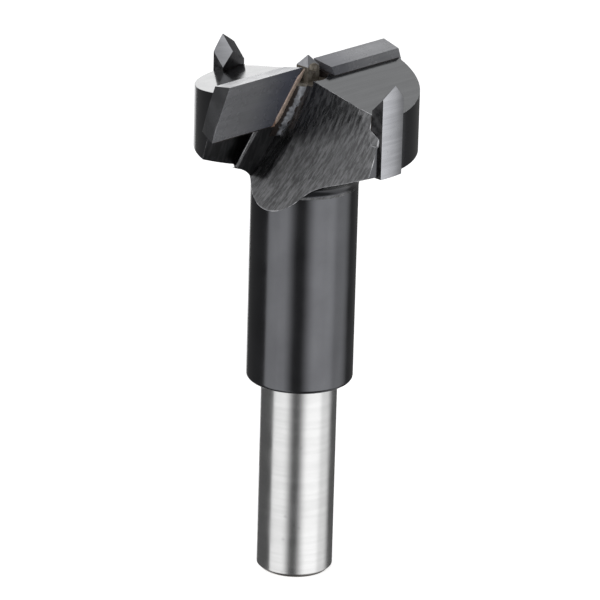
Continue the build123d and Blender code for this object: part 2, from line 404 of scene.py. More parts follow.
def maths(tree, operation, first, second=0.0):
    made = new_node(tree, "ShaderNodeMath", {"operation": operation}, _0=first, _1=second)
    return made.outputs[0]


def plus(tree, first, second):
    return maths(tree, "ADD", first, second)


def minus(tree, first, second):
    return maths(tree, "SUBTRACT", first, second)


def times(tree, first, second):
    return maths(tree, "MULTIPLY", first, second)


def axes(tree, vector):
    """X, Y and Z of a vector."""
    return new_node(tree, "ShaderNodeSeparateXYZ", Vector=vector).outputs


def ramp(tree, value, low, high, to_low=0.0, to_high=1.0):
    """Smooth step from low to high."""
    made = new_node(
        tree, "ShaderNodeMapRange", {"interpolation_type": "SMOOTHSTEP"},
        Value=value, From_Min=low, From_Max=high, To_Min=to_low, To_Max=to_high)
    return made.outputs[0]


def spread(tree, mask, low, high):
    """A value that goes from low to high with the mask."""
    return ramp(tree, mask, 0.0, 1.0, low, high)


def blend_colour(tree, factor, first, second, mode="MIX"):
    made = new_node(tree, "ShaderNodeMix", {"data_type": "RGBA", "blend_type": mode},
                    _0=factor, _6=first, _7=second)
    return made.outputs[2]


def opaque(colour, factor=1.0):
    return (colour[0] * factor, colour[1] * factor, colour[2] * factor, 1.0)


def shades(tree, mask, colour, low, high):
    """A colour that goes from its low to its high shade with the mask."""
    return blend_colour(tree, mask, opaque(colour, low), opaque(colour, high))


def tinted(tree, tone, mask, share, colour):
    """A tone that takes a share of another colour where the mask is."""
    return blend_colour(tree, times(tree, mask, share), tone, colour)


def brightened(tree, tone, factor):
    return blend_colour(tree, 1.0, tone, (factor, factor, factor, 1.0), "MULTIPLY")


def noise(tree, vector, scale, detail, roughness):
    made = new_node(tree, "ShaderNodeTexNoise", {"noise_dimensions": "3D"},
                    Vector=vector, Scale=scale, Detail=detail, Roughness=roughness)
    return made.outputs[0]


def new_group(name, inputs, outputs):
    """A shader node group with named float or vector inputs and outputs."""
    group = bpy.data.node_groups.new(name, "ShaderNodeTree")
    for label, kind, default in inputs:
        socket = group.interface.new_socket(name=label, in_out="INPUT", socket_type=kind)
        if default is not None:
            socket.default_value = default
    for label, kind in outputs:
        group.interface.new_socket(name=label, in_out="OUTPUT", socket_type=kind)
    start = group.nodes.new("NodeGroupInput")
    end = group.nodes.new("NodeGroupOutput")
    return group, start, end


def use_group(tree, group, **inputs):
    return new_node(tree, "ShaderNodeGroup", {"node_tree": group}, **inputs).outputs


# Shared effects

def fine_lines_group():
    """Fine parallel lines of a grinding wheel or turning tool."""
    group, start, end = new_group(
        "Fine lines",
        [("Position", "NodeSocketVector", None),
         ("Stretch", "NodeSocketVector", (1.0, 1.0, 1.0)),
         ("Fineness", "NodeSocketFloat", 4000.0)],
        [("Height", "NodeSocketFloat"), ("Streaks", "NodeSocketFloat")])
    stretched = new_node(
        group, "ShaderNodeVectorMath", {"operation": "MULTIPLY"},
        _0=start.outputs["Position"], _1=start.outputs["Stretch"]).outputs[0]
    fineness = start.outputs["Fineness"]
    lines = noise(group, stretched, fineness, 3.0, 0.7)
    broad = noise(group, stretched, times(group, fineness, 0.31), 2.0, 0.6)
    height = plus(group, times(group, lines, 0.6), times(group, broad, 0.4))
    feed(group, end.inputs["Height"], height)
    feed(group, end.inputs["Streaks"], ramp(group, broad, 0.35, 0.68))
    return group


def specks_group():
    """Small pits and dust specks."""
    group, start, end = new_group(
        "Specks",
        [("Position", "NodeSocketVector", None),
         ("Density", "NodeSocketFloat", 1500.0),
         ("Amount", "NodeSocketFloat", 0.2)],
        [("Mask", "NodeSocketFloat")])
    cells = new_node(
        group, "ShaderNodeTexVoronoi", {"feature": "F1", "distance": "EUCLIDEAN"},
        Vector=start.outputs["Position"], Scale=start.outputs["Density"]).outputs
    dot = ramp(group, cells["Distance"], 0.30, 0.12)
    by_chance = new_node(group, "ShaderNodeSeparateColor", _0=cells["Color"]).outputs[0]
    chosen = maths(group, "LESS_THAN", by_chance, start.outputs["Amount"])
    feed(group, end.inputs["Mask"], times(group, dot, chosen))
    return group


def clouding_group():
    """Broad cloudy change in a finish."""
    group, start, end = new_group(
        "Clouding",
        [("Position", "NodeSocketVector", None), ("Size", "NodeSocketFloat", 120.0)],
        [("Value", "NodeSocketFloat")])
    clouds = noise(group, start.outputs["Position"], start.outputs["Size"], 4.0, 0.55)
    feed(group, end.inputs["Value"], ramp(group, clouds, 0.3, 0.7))
    return group


def shared_group(name, make):
    """A shared effect, made when it is first used."""
    return bpy.data.node_groups.get(name) or make()


def fine_lines(tree, position, stretch, fineness):
    """Height and streaks of fine parallel lines."""
    made = use_group(tree, shared_group("Fine lines", fine_lines_group), Position=position,
                     Stretch=stretch, Fineness=fineness)
    return made["Height"], made["Streaks"]


def specks(tree, position, density, amount):
    """Mask of small specks."""
    group = shared_group("Specks", specks_group)
    return use_group(tree, group, Position=position, Density=density, Amount=amount)[0]


def clouding(tree, position, size):
    """Mask of broad clouds."""
    group = shared_group("Clouding", clouding_group)
    return use_group(tree, group, Position=position, Size=size)[0]


def empty_tree(owner):
    """Gives a material or world an empty node tree."""
    owner.use_nodes = True
    owner.node_tree.nodes.clear()
    return owner.node_tree


def new_material(name):
    """An empty material, its node tree and the position on the piece."""
    material = bpy.data.materials.new(name)
    tree = empty_tree(material)
    return material, tree, tree.nodes.new("ShaderNodeTexCoord").outputs["Object"]


def surface(material, tone, rough, height, depth, strength, metallic=1.0):
    """Ends a material with its surface and its bump, and returns it."""
    tree = material.node_tree
    bump = new_node(tree, "ShaderNodeBump", Height=height, Distance=depth, Strength=strength)
    shader = new_node(tree, "ShaderNodeBsdfPrincipled", Base_Color=tone, Roughness=rough,
                      Metallic=metallic, Normal=bump.outputs["Normal"])
    new_node(tree, "ShaderNodeOutputMaterial", Surface=shader.outputs[0])
    return material


# Finishes

def blackened_turned(finish):
    """Glossy oil-blackened turned steel with light handling marks."""
    material, tree, position = new_material("blackened_turned_steel")
    height, streaks = fine_lines(tree, position, (1.0, 1.0, 0.12), 1500.0)
    clouds = clouding(tree, position, 160.0)
    marks = specks(tree, position, 420.0, 0.035)
    tone = shades(tree, clouds, finish.blackened, 0.9, 1.08)
    tone = tinted(tree, tone, streaks, 0.25, opaque(finish.blackened, 0.75))
    tone = tinted(tree, tone, marks, 0.6, (0.34, 0.35, 0.38, 1.0))
    rough = plus(tree, spread(tree, clouds, 0.15, 0.20), times(tree, marks, 0.2))
    return surface(material, tone, rough, height, 0.0008 * MM, 0.5)


def blackened_milled(finish, sizes):
    """Blackened gullet wall with the mill's diagonal marks, rougher and less metallic at its foot,
    where it is also lightened as painted light.
    """
    material, tree, position = new_material("blackened_milled_steel")
    turned = new_node(
        tree, "ShaderNodeMapping", {"vector_type": "TEXTURE"},
        Vector=position, Rotation=(sizes.rake, 0.0, 0.0)).outputs[0]
    height, streaks = fine_lines(tree, turned, (0.25, 1.0, 0.20), 7600.0)
    clouds = clouding(tree, position, 260.0)
    fine = ramp(tree, height, 0.42, 0.58)
    marks = plus(tree, times(tree, streaks, 0.5), times(tree, fine, 0.5))
    tone = shades(tree, marks, finish.milled, 0.5, 1.45)
    tone = tinted(tree, tone, clouds, 0.4, opaque(finish.milled, 0.7))
    # Painted light: the foot of the wall, in front of the darker corner by the leaning face, is
    # lightened 1.75 times; it is also rougher and less metallic there.
    behind = seam_place(tree, position, sizes)[1]
    slanting = plus(tree, axes(tree, position)["Z"], times(tree, behind, 0.45))
    foot = times(tree, ramp(tree, behind, -2.1 * MM, -3.3 * MM),
                 ramp(tree, slanting, sizes.edge_height - 9.0 * MM, sizes.edge_height - 14.2 * MM))
    tone = blend_colour(tree, foot, tone, brightened(tree, tone, 1.75))
    rough = plus(tree, spread(tree, streaks, 0.24, 0.34), times(tree, foot, 0.24))
    metallic = minus(tree, 1.0, times(tree, foot, 0.5))
    return surface(material, tone, rough, height, 0.004 * MM, 0.8, metallic)


def black_floor(finish):
    """Nearly black scale on the leaning steel under the plates."""
    material, tree, position = new_material("black_leaning_steel")
    height, streaks = fine_lines(tree, position, (1.0, 0.2, 0.2), 5200.0)
    pits = specks(tree, position, 1500.0, 0.1)
    tone = shades(tree, streaks, finish.milled, 0.6, 1.1)
    tone = tinted(tree, tone, pits, 0.5, opaque(finish.milled, 1.6))
    rough = spread(tree, clouding(tree, position, 300.0), 0.28, 0.42)
    return surface(material, tone, rough, height, 0.003 * MM, 0.8)


def ground_top(finish):
    """Satin ground top of the wings, its lines along the cutting edges."""
    material, tree, position = new_material("satin_ground_steel")
    height, streaks = fine_lines(tree, position, (0.035, 1.0, 1.0), 5200.0)
    clouds = clouding(tree, position, 330.0)
    tone = shades(tree, streaks, finish.satin, 0.92, 1.08)
    tone = tinted(tree, tone, clouds, 0.3, opaque(finish.satin, 1.25))
    return surface(material, tone, spread(tree, clouds, 0.12, 0.17), height, 0.0016 * MM, 0.7)


def bright_shank(finish):
    """Centreless-ground shank with fine rings and a browned end."""
    material, tree, position = new_material("bright_ground_steel")
    height, streaks = fine_lines(tree, position, (0.05, 0.05, 1.0), 4200.0)
    pits = specks(tree, position, 900.0, 0.05)
    tone = shades(tree, streaks, finish.bright, 0.97, 1.03)
    tone = tinted(tree, tone, pits, 0.25, opaque(finish.bright, 0.6))
    foot = ramp(tree, axes(tree, position)["Z"], 0.75 * MM, 0.1 * MM)
    tone = tinted(tree, tone, foot, 0.75, (0.20, 0.16, 0.12, 1.0))
    rough = spread(tree, clouding(tree, position, 200.0), 0.20, 0.27)
    return surface(material, tone, rough, height, 0.0006 * MM, 0.6)


def edge_wear_and_highlight(finish):
    """Broken edges of the gullets, where the blackening is rubbed through in places; their light
    grey is also a painted highlight.
    """
    material, tree, position = new_material("steel_edge_wear_and_highlight")
    clouds = clouding(tree, position, 700.0)
    left_black = specks(tree, position, 2500.0, 0.3)
    # Light grey on the broken edges: real wear, and a painted highlight along the edges.
    tone = blend_colour(tree, clouds, opaque(finish.blackened, 0.9), (0.62, 0.62, 0.64, 1.0))
    tone = tinted(tree, tone, left_black, 0.7, opaque(finish.blackened, 0.6))
    return surface(material, tone, spread(tree, clouds, 0.42, 0.32), clouds, 0.01 * MM, 0.5)


def ground_carbide(finish, name, stretch, roughness, tint=1.0, metal=1.0,
                   heat_tint_and_shade=None, spur_radius=None):
    """Ground carbide with fine wheel lines.

    A plate is blued by heat and darkened by painted shade towards the axis: its tuple gives
    where that starts, its share and its colour. A spur, which stands at spur_radius, has painted
    light at its trailing side and painted shade at its leading side.
    """
    material, tree, position = new_material(name)
    place = axes(tree, position)
    height, streaks = fine_lines(tree, position, stretch, 5200.0)
    clouds = clouding(tree, position, 420.0)
    pits = specks(tree, position, 2200.0, 0.12)
    tone = shades(tree, streaks, finish.carbide, 0.92 * tint, 1.07 * tint)
    tone = tinted(tree, tone, clouds, 0.25, opaque(finish.carbide, 0.82 * tint))
    tone = tinted(tree, tone, pits, 0.35, opaque(finish.carbide, 0.55 * tint))
    # Painted shade mixed with a real blue heat tint: a plate darkens and blues towards the axis.
    if heat_tint_and_shade:
        start, share, blued_and_shaded = heat_tint_and_shade
        out = plus(tree, maths(tree, "ABSOLUTE", place["X"]), times(tree, clouds, 0.8 * MM))
        heat_and_shade = ramp(tree, out, start, 3.0 * MM, 0.0, share)
        tone = blend_colour(tree, heat_and_shade, tone, opaque(blued_and_shaded))
    # Painted light on a spur's trailing side and painted shade on its leading side.
    if spur_radius:
        ahead = times(tree, times(tree, place["X"], place["Y"]), -1.0 / spur_radius)
        tone = blend_colour(tree, ramp(tree, ahead, -1.6 * MM, 2.3 * MM),
                            brightened(tree, tone, 1.38), brightened(tree, tone, 0.72))
    rough = spread(tree, clouds, roughness, roughness + 0.07)
    return surface(material, tone, rough, height, 0.0012 * MM, 0.7, metal)


def sintered_skin():
    """Dark matt skin on the carbide where it wasn't ground."""
    material, tree, position = new_material("dark_sintered_carbide")
    clouds = clouding(tree, position, 900.0)
    pits = specks(tree, position, 2400.0, 0.2)
    tone = blend_colour(tree, clouds, (0.045, 0.045, 0.048, 1.0), (0.095, 0.094, 0.098, 1.0))
    tone = tinted(tree, tone, pits, 0.4, (0.16, 0.16, 0.17, 1.0))
    return surface(material, tone, spread(tree, clouds, 0.26, 0.4), clouds, 0.008 * MM, 0.5)


def seam_place(tree, position, sizes):
    """Distances outwards from, and behind, the seam's corner, on both sides alike."""
    place = axes(tree, position)
    drop = minus(tree, sizes.edge_height, place["Z"])
    side = times(tree, maths(tree, "SIGN", place["X"]), -1.0)
    facing = times(tree, place["Y"], side)
    face_y = minus(tree, times(tree, drop, math.tan(sizes.rake)), sizes.rake_ahead)
    slope = sizes.cutter_spread / sizes.cutter_height / math.cos(sizes.rake)
    inner_x = plus(tree, times(tree, drop, slope), sizes.cutter_inner - sizes.braze_end)
    across = minus(tree, maths(tree, "ABSOLUTE", place["X"]), inner_x)
    return across, minus(tree, facing, face_y)


def seam_front(tree, position, sizes):
    """Mask for the front of the seam at a plate's inner end."""
    across, behind = seam_place(tree, position, sizes)
    return times(tree, ramp(tree, behind, 0.10 * MM, 0.04 * MM),
                 ramp(tree, across, 0.60 * MM, 0.50 * MM))


def braze_filler(finish, sizes, name, copper):
    """Filler darkened by flux, copper-coloured on the front of a plate's seam."""
    material, tree, position = new_material(name)
    clouds = clouding(tree, position, 1400.0)
    pits = specks(tree, position, 3000.0, 0.3)
    tone = blend_colour(tree, clouds, (0.020, 0.018, 0.018, 1.0), (0.085, 0.070, 0.066, 1.0))
    if copper:
        tan = shades(tree, clouds, finish.filler, 0.8, 1.15)
        tone = blend_colour(tree, seam_front(tree, position, sizes), tone, tan)
    tone = tinted(tree, tone, pits, 0.6, (0.05, 0.035, 0.03, 1.0))
    return surface(material, tone, spread(tree, clouds, 0.38, 0.6), clouds, 0.03 * MM, 0.6, 0.3)


def bead_finish(finish):
    """Tan skin of the bead, with brown specks."""
    material, tree, position = new_material("tan_braze_bead")
    clouds = clouding(tree, position, 1700.0)
    browned = specks(tree, position, 3400.0, 0.22)
    tone = shades(tree, clouds, finish.bead, 0.68, 0.86)
    tone = tinted(tree, tone, browned, 0.6, (0.22, 0.11, 0.07, 1.0))
    return surface(material, tone, spread(tree, clouds, 0.32, 0.45), clouds, 0.02 * MM, 0.6, 0.25)


def silver_run(sizes):
    """Grey skin of filler that ran over the web beside the seam."""
    material, tree, position = new_material("grey_braze_run")
    clouds = clouding(tree, position, 900.0)
    streaks = fine_lines(tree, position, (1.0, 1.0, 0.25), 4200.0)[1]
    pits = specks(tree, position, 2200.0, 0.4)
    tone = blend_colour(tree, clouds, (0.18, 0.19, 0.21, 1.0), (0.62, 0.64, 0.69, 1.0))
    tone = tinted(tree, tone, streaks, 0.5, (0.07, 0.075, 0.09, 1.0))
    tone = tinted(tree, tone, pits, 0.8, (0.015, 0.015, 0.018, 1.0))
    across, behind = seam_place(tree, position, sizes)
    reach = maths(tree, "SQRT", plus(tree, times(tree, across, across),
                                     times(tree, behind, behind)))
    ragged = plus(tree, reach, times(tree, clouds, 0.45 * MM))
    band = times(tree, ramp(tree, ragged, 0.85 * MM, 1.15 * MM),
                 ramp(tree, ragged, 2.0 * MM, 1.7 * MM))
    tone = blend_colour(tree, band, (0.04, 0.031, 0.028, 1.0), tone)
    return surface(material, tone, spread(tree, clouds, 0.34, 0.5), clouds, 0.03 * MM, 0.8, 0.6)


def flux_residue_finish(name, shade):
    """Glassy flux left round the point, pale where it is thick."""
    material, tree, position = new_material(name)
    clouds = clouding(tree, position, 1500.0)
    tone = blend_colour(tree, clouds, opaque((0.22, 0.19, 0.15), shade),
                        opaque((0.46, 0.41, 0.34), shade))
    return surface(material, tone, spread(tree, clouds, 0.25, 0.5), clouds, 0.03 * MM, 0.6, 0.0)


# Body

def turned_bar(sizes):
    """Shank, neck, flare and head, spun from one profile."""
    shank, neck, head = sizes.shank_radius, sizes.neck_radius, sizes.head_radius
    step, fillet = sizes.shank_length, sizes.flare_fillet
    chamfer, lip, rim = 0.6 * MM, 0.12 * MM, 0.25 * MM
    top = sizes.edge_height + 3 * MM
    profile = [
        (0, 0),
        (shank - chamfer, 0),
        (shank - 0.9 * chamfer, 0.04 * chamfer),
        (shank - 0.04 * chamfer, 0.9 * chamfer),
        (shank, chamfer),
        (shank, step - lip),
        (shank + lip, step),
        (neck - chamfer, step),
    ]
    for turn in (22.5, 45.0, 67.5, 90.0):
        angle = math.radians(turn)
        profile.append((neck - chamfer + chamfer * math.sin(angle),
                        step + chamfer * (1 - math.cos(angle))))
    for turn in (0, 9, 18, 27, 36, 45):
        angle = math.radians(turn)
        profile.append((neck + fillet * (1 - math.cos(angle)),
                        sizes.neck_top + fillet * math.sin(angle)))
    profile += [
        (sizes.flare_radius, sizes.neck_top + sizes.flare_height),
        (head - rim, sizes.rim_bottom),
        (head - 0.3 * rim, sizes.rim_bottom + 0.3 * rim),
        (head, sizes.rim_bottom + rim),
        (head, top),
        (0, top),
    ]
    deselect()
    bpy.ops.mesh.primitive_circle_add(vertices=len(profile), radius=MM, fill_type="NOTHING")
    bar = take("bit_body")
    for vertex, (radius, height) in zip(bar.data.vertices, profile):
        vertex.co = (radius, 0, height)
    ends = {0, len(profile) - 1}
    select_parts(bar, "EDGE", lambda edge: set(edge.vertices) == ends)
    bpy.ops.mesh.delete(type="EDGE")
    bpy.ops.mesh.select_all(action="SELECT")
    bpy.ops.mesh.spin(
        steps=sizes.turning_steps, angle=2 * math.pi, center=(0, 0, 0), axis=(0, 0, 1))
    face_outwards(bar)
    return bar


def roof_height(sizes):
    """Height of the steel's ridge over the axis."""
    return sizes.edge_height - sizes.rake_ahead * math.tan(sizes.relief) - sizes.cutter_proud


def rake_down(sizes, side):
    """Direction down the rake face of the plate on +X, side 1, or -X, side -1."""
    return Vector((0, -side * math.sin(sizes.rake), -math.cos(sizes.rake)))


def rake_start(sizes):
    """Middle of the rake face's top on -X, set in by the gullet's clearance."""
    return Vector((0, -sizes.rake_ahead + RAKE_CLEARANCE, sizes.edge_height))


def leaning_normal(sizes):
    """Outward normal of the rake face on -X."""
    return Vector((0, -math.cos(sizes.rake), -math.sin(sizes.rake)))


def seam_point(sizes, z):
    """Corner of the pocket at the plate's inner end on -X."""
    down = (sizes.edge_height - z) / math.cos(sizes.rake)
    slope = sizes.cutter_spread / sizes.cutter_height
    return Vector((
        -(sizes.cutter_inner - sizes.braze_end + slope * down),
        -sizes.rake_ahead + (sizes.edge_height - z) * math.tan(sizes.rake),
        z))


def wall_x(sizes, z):
    """Place of the gullet's wall: upright above, flaring below."""
    drop = sizes.edge_height - 2.16 * MM - z
    if drop <= 0:
        return -sizes.wall_offset
    return -sizes.wall_offset - sizes.wall_arc + math.sqrt(sizes.wall_arc ** 2 - drop ** 2)


def mill_wall_tool(sizes):
    """The space in front of the gullet's wall, its face scored by the mill."""
    source = random.Random(SEED)
    low, high = sizes.edge_height - 20 * MM, sizes.edge_height + 4 * MM
    left, right = -20.0 * MM, 6.5 * MM
    shear, unsheared = 0.382, 60 * MM
    rows = 26
    columns = int((right - left) / sizes.mill_pitch)
    deselect()
    bpy.ops.mesh.primitive_grid_add(x_subdivisions=columns, y_subdivisions=rows, size=2)
    tool = take("gullet_tool")
    # A column's mark keeps part of its depth, and the rest changes between nine stages
    phases = [source.uniform(-1, 1) for _ in range(columns + 3)]
    slow = [[source.uniform(-1, 1) for _ in range(9)] for _ in range(columns + 3)]
    last_stage = 7.999
    for vertex in tool.data.vertices:
        across = (vertex.co.x + 1) / 2
        along = (vertex.co.y + 1) / 2
        z = low + (high - low) * along
        y = left + (right - left) * across - shear * (z - unsheared)
        column = min(int(round(across * columns)), columns)
        place = along * last_stage
        stage = int(place)
        before, after = slow[column][stage:stage + 2]
        change = before * (1 - place + stage) + after * (place - stage)
        mark = 0.55 * phases[column] + 0.45 * change
        wave = math.sin(across * columns * 0.9) * 0.35
        depth = sizes.mill_depth * (0.5 * mark + 0.5 * wave)
        vertex.co = (wall_x(sizes, z) + depth, y, z)
    edit(tool)
    bpy.ops.mesh.extrude_region_move(TRANSFORM_OT_translate={"value": (-PAST_RIM, 0, 0)})
    face_outwards(tool)
    return tool


def web_tool(sizes):
    """Steel left in the corner between the wall and the plate's inner end."""
    top = sizes.edge_height - 1.06 * MM
    foot = top - 8.8 * MM
    rise = Vector((0, 0, top - foot))
    corners = []
    for z, reach, turn in ((foot, 2.3 * MM, 22.0), (top, 2.35 * MM, 64.0)):
        angle = math.radians(turn)
        seam = seam_point(sizes, z)
        crease = seam + Vector((math.cos(angle), -math.sin(angle), 0)) * reach
        back = crease + Vector((1.5, 2.0, 0)) * MM
        hidden = seam + Vector((0, 1.0, 0)) * MM
        corners.append([seam, crease, back, hidden])
    web = prism("web", corners[0], rise)
    for vertex in web.data.vertices:
        if vertex.co.z > (top + foot) / 2:
            nearest = min(range(4), key=lambda i: (vertex.co - corners[0][i] - rise).length)
            vertex.co = corners[1][nearest]
    add_rings(web, 15, 5 * MM)
    face_outwards(web)
    return web


def step_tool(sizes):
    """Step that sets the leaning face back below the outer part of the plate."""
    down, out = rake_down(sizes, -1), leaning_normal(sizes)
    start = rake_start(sizes) + down * (sizes.cutter_height + sizes.braze_gap)
    outline = [(-20, 0.5), (-20, -1.5), (-5.6, -1.5), (-6.85, -0.28), (-6.3, 0.0), (-6.3, 0.5)]
    corners = [start + Vector((x * MM, 0, 0)) + out * (d * MM) for x, d in outline]
    drift = math.tan(math.radians(13.5))
    return prism("step_tool", corners, (down + Vector((-drift, 0, 0))) * 20 * MM)


def end_bevel_tool(sizes):
    """Shallow facet where the wall meets the spur's side."""
    fall, run = 3.5, 2.5
    wall, start_y = -sizes.wall_offset, -sizes.head_radius + 3.5 * MM
    high = roof_height(sizes) - 2.67 * MM
    low = high - fall * MM
    top = Vector((wall - 0.05 * MM, start_y, high))
    foot = Vector((wall - 0.5 * MM, start_y - run * MM, low))
    inner = Vector((wall + 0.1 * MM, start_y - 2.0 * MM, high - 0.5 * MM))
    tool = block("end_bevel_tool", (-6 * MM, -PAST_RIM, low), (6 * MM, 6 * MM, high + 12 * MM))
    normal = (foot - top).cross(inner - top).normalized()
    slice_off(tool, top, towards(normal, (1, 0, 0)))
    steep = math.atan2(fall, run)
    slice_off(tool, top, (0, math.sin(steep), -math.cos(steep)))
    face_outwards(tool)
    return tool


def plate_outline(sizes, grow_down, grow_in):
    """Corners of the plate on +X in its rake plane, from above the edge down."""
    origin = Vector((0, sizes.rake_ahead, sizes.edge_height))
    down = rake_down(sizes, 1)
    slope = sizes.cutter_spread / sizes.cutter_height
    above, far = 3.0 * MM, 20 * MM
    depth = sizes.cutter_height + grow_down
    inner = sizes.cutter_inner - grow_in
    outline = [
        (inner - slope * above, -above),
        (far, -above),
        (far, depth),
        (inner + slope * depth, depth),
    ]
    return [origin + Vector((x, 0, 0)) + down * d for x, d in outline]


def plate_back(sizes):
    """Direction from the rake face to the back of the plate on +X."""
    return Vector((0, -math.cos(sizes.rake), math.sin(sizes.rake)))


def pocket_tool(sizes):
    corners = plate_outline(sizes, sizes.braze_gap, sizes.braze_end)
    return prism("pocket_tool", corners,
                 plate_back(sizes) * (sizes.cutter_thickness + sizes.braze_gap))


def spur_pocket_tool(sizes):
    gap = sizes.braze_gap
    left, right = SPUR_SIDES
    return block("spur_pocket_tool", (left, -PAST_RIM, sizes.rim_bottom - 1.2 * MM),
                 (right + gap, -sizes.cutting_radius + SPUR_DEPTH + gap, ABOVE_ALL))


def to_left(place):
    """Sign that turns a place on either side onto the side on -X."""
    return -math.copysign(1, place.x)


def seam_distance(place, sizes):
    """Distance from the corner of the seam at the same height."""
    side = to_left(place)
    seam = seam_point(sizes, place.z)
    return math.hypot(side * place.x - seam.x, side * place.y - seam.y)


def edge_share(place, sizes):
    """Share of the full edge width: none on the bar and by the seam, all where edges rub most."""
    if place.z < sizes.neck_top - 5 * MM or seam_distance(place, sizes) < 0.9 * MM:
        return 0.0
    drop = sizes.edge_height - place.z
    face_y = drop * math.tan(sizes.rake) - sizes.rake_ahead
    by_step = (abs(to_left(place) * place.y - face_y) < 0.6 * MM
               and abs(place.x) > 6 * MM and place.z < RUBBED_STEP_TOP)
    by_spur = (abs(place.x) < 1.9 * MM and abs(place.y) > 11 * MM
               and RUBBED_FACET[0] < place.z < RUBBED_FACET[1])
    return 1.0 if by_step or by_spur else 0.25


def is_turned(face, sizes):
    """Whether a face lies on the turned neck, flare, underside or rim."""
    place = face.center
    radius = math.hypot(place.x, place.y)
    if place.z < sizes.neck_top - 6 * MM:
        return True
    sideways = abs(face.normal.x * place.y - face.normal.y * place.x) / radius
    if sideways > 0.05:
        return False
    if radius > sizes.head_radius - 0.35 * MM:
        return True
    if place.z < sizes.neck_top:
        return radius > sizes.neck_radius - 0.05 * MM
    return face.normal.z < -0.1 and place.z < sizes.rim_bottom


def is_web(face, sizes):
    """Whether a face lies on the web beside a plate's inner end."""
    place, normal = face.center, face.normal
    side = to_left(place)
    turned = side * normal.x < -0.3 and side * normal.y < -0.25 and abs(normal.z) < 0.3
    near = seam_distance(place, sizes) < 2.5 * MM and place.z > sizes.edge_height - 10.5 * MM
    return near and turned


def steel_finish(face, sizes):
    """Index of the material of one of the body's faces."""
    place, normal = face.center, face.normal
    roof = roof_height(sizes)
    if place.z < sizes.shank_length - 0.02 * MM:
        return BRIGHT
    if math.hypot(place.x, place.y) < SPOT_RADIUS + 0.02 * MM and place.z > roof - 1.3 * MM:
        return STAINED
    leans_back = normal.z > math.cos(sizes.relief) - 0.01 and abs(normal.x) < 0.02
    if leans_back and place.z > roof - 4 * MM:
        return GROUND
    if is_turned(face, sizes):
        return TURNED
    if abs(normal.x) < 0.3 and normal.z < -0.3:
        return BLACK_FLOOR
    return FILLER_RUN if is_web(face, sizes) else MILLED


class BIT_OT_body(bpy.types.Operator):
    """Turns the bar, mills its gullets and pockets and blackens it"""

    bl_idname = "forstner.body"
    bl_label = "Steel body"

    def execute(self, context):
        sizes, finish = context.scene.bit_sizes, context.scene.bit_finish
        body = turned_bar(sizes)
        roof = roof_height(sizes)
        for side in (-1, 1):
            slice_off(body, (0, 0, roof),
                      (0, side * math.sin(sizes.relief), math.cos(sizes.relief)))
        gullet = mill_wall_tool(sizes)
        slice_off(gullet, rake_start(sizes), -leaning_normal(sizes))
        combine(gullet, web_tool(sizes), "DIFFERENCE")
        for tool in (pocket_tool(sizes), spur_pocket_tool(sizes), step_tool(sizes),
                     end_bevel_tool(sizes), gullet):
            combine(body, half_turned(tool, tool.name + "_turned"), "DIFFERENCE")
            combine(body, tool, "DIFFERENCE")
        spot = round_bar("spot_tool", SPOT_RADIUS, roof - SPOT_DEPTH, ABOVE_ALL, 96)
        combine(body, spot, "DIFFERENCE")
        edit(body)
        bpy.ops.mesh.dissolve_degenerate(threshold=0.02 * MM)
        face_outwards(body)
        close_slits(body)
        coat(body, blackened_turned(finish), blackened_milled(finish, sizes), ground_top(finish),
             bright_shank(finish), edge_wear_and_highlight(finish), silver_run(sizes), black_floor(finish),
             flux_residue_finish("flux_stained_steel", 0.6))
        for face in body.data.polygons:
            face.material_index = steel_finish(face, sizes)
        break_edges(body, sizes.edge_round, lambda place: edge_share(place, sizes), EDGE_WEAR_AND_HIGHLIGHT)
        finish_piece(body, "blackened_steel", "body")
        return {"FINISHED"}


# Plates

class BIT_OT_cutters(bpy.types.Operator):
    """Grinds the two carbide plates"""

    bl_idname = "forstner.cutters"
    bl_label = "Main cutters"

    def execute(self, context):
        sizes, finish = context.scene.bit_sizes, context.scene.bit_finish
        relief, back = sizes.relief, plate_back(sizes)
        plate = prism("cutter_plate_1", plate_outline(sizes, 0, 0), back * sizes.cutter_thickness)
        slice_off(plate, (0, 0, sizes.edge_height - sizes.rake_ahead * math.tan(relief)),
                  (0, -math.sin(relief), math.cos(relief)))
        corner = Vector((math.sqrt(sizes.cutting_radius ** 2 - sizes.rake_ahead ** 2),
                         sizes.rake_ahead, sizes.edge_height))
        along = back - Vector((math.tan(sizes.side_clearance), 0, 0))
        slice_off(plate, corner, towards(along.cross(rake_down(sizes, 1)), (1, 0, 0)))
        keep_within(plate, sizes.cutting_radius)
        coat(plate,
             ground_carbide(finish, "ground_carbide", (0.035, 1.0, 1.0), 0.22, 1.1, 0.35,
                            heat_tint_and_shade=(9.5 * MM, 0.6, (0.135, 0.142, 0.172))),
             ground_carbide(finish, "ground_carbide_end", (1.0, 0.06, 0.4), 0.2, 0.8),
             ground_carbide(finish, "ground_carbide_rake", (0.035, 1.0, 1.0), 0.22, 1.1, 0.35,
                            heat_tint_and_shade=(10.5 * MM, 0.72, (0.12, 0.135, 0.21))))
        for face in plate.data.polygons:
            on_end, on_rake = face.normal.x > 0.8, face.normal.dot(back) < -0.9
            face.material_index = 2 if on_rake else int(on_end)
        break_edges(plate, 0.025 * MM)
        finish_pair(plate, "cutter_plate_2", "carbide", "main_cutter_1", "main_cutter_2")
        return {"FINISHED"}


# Spurs

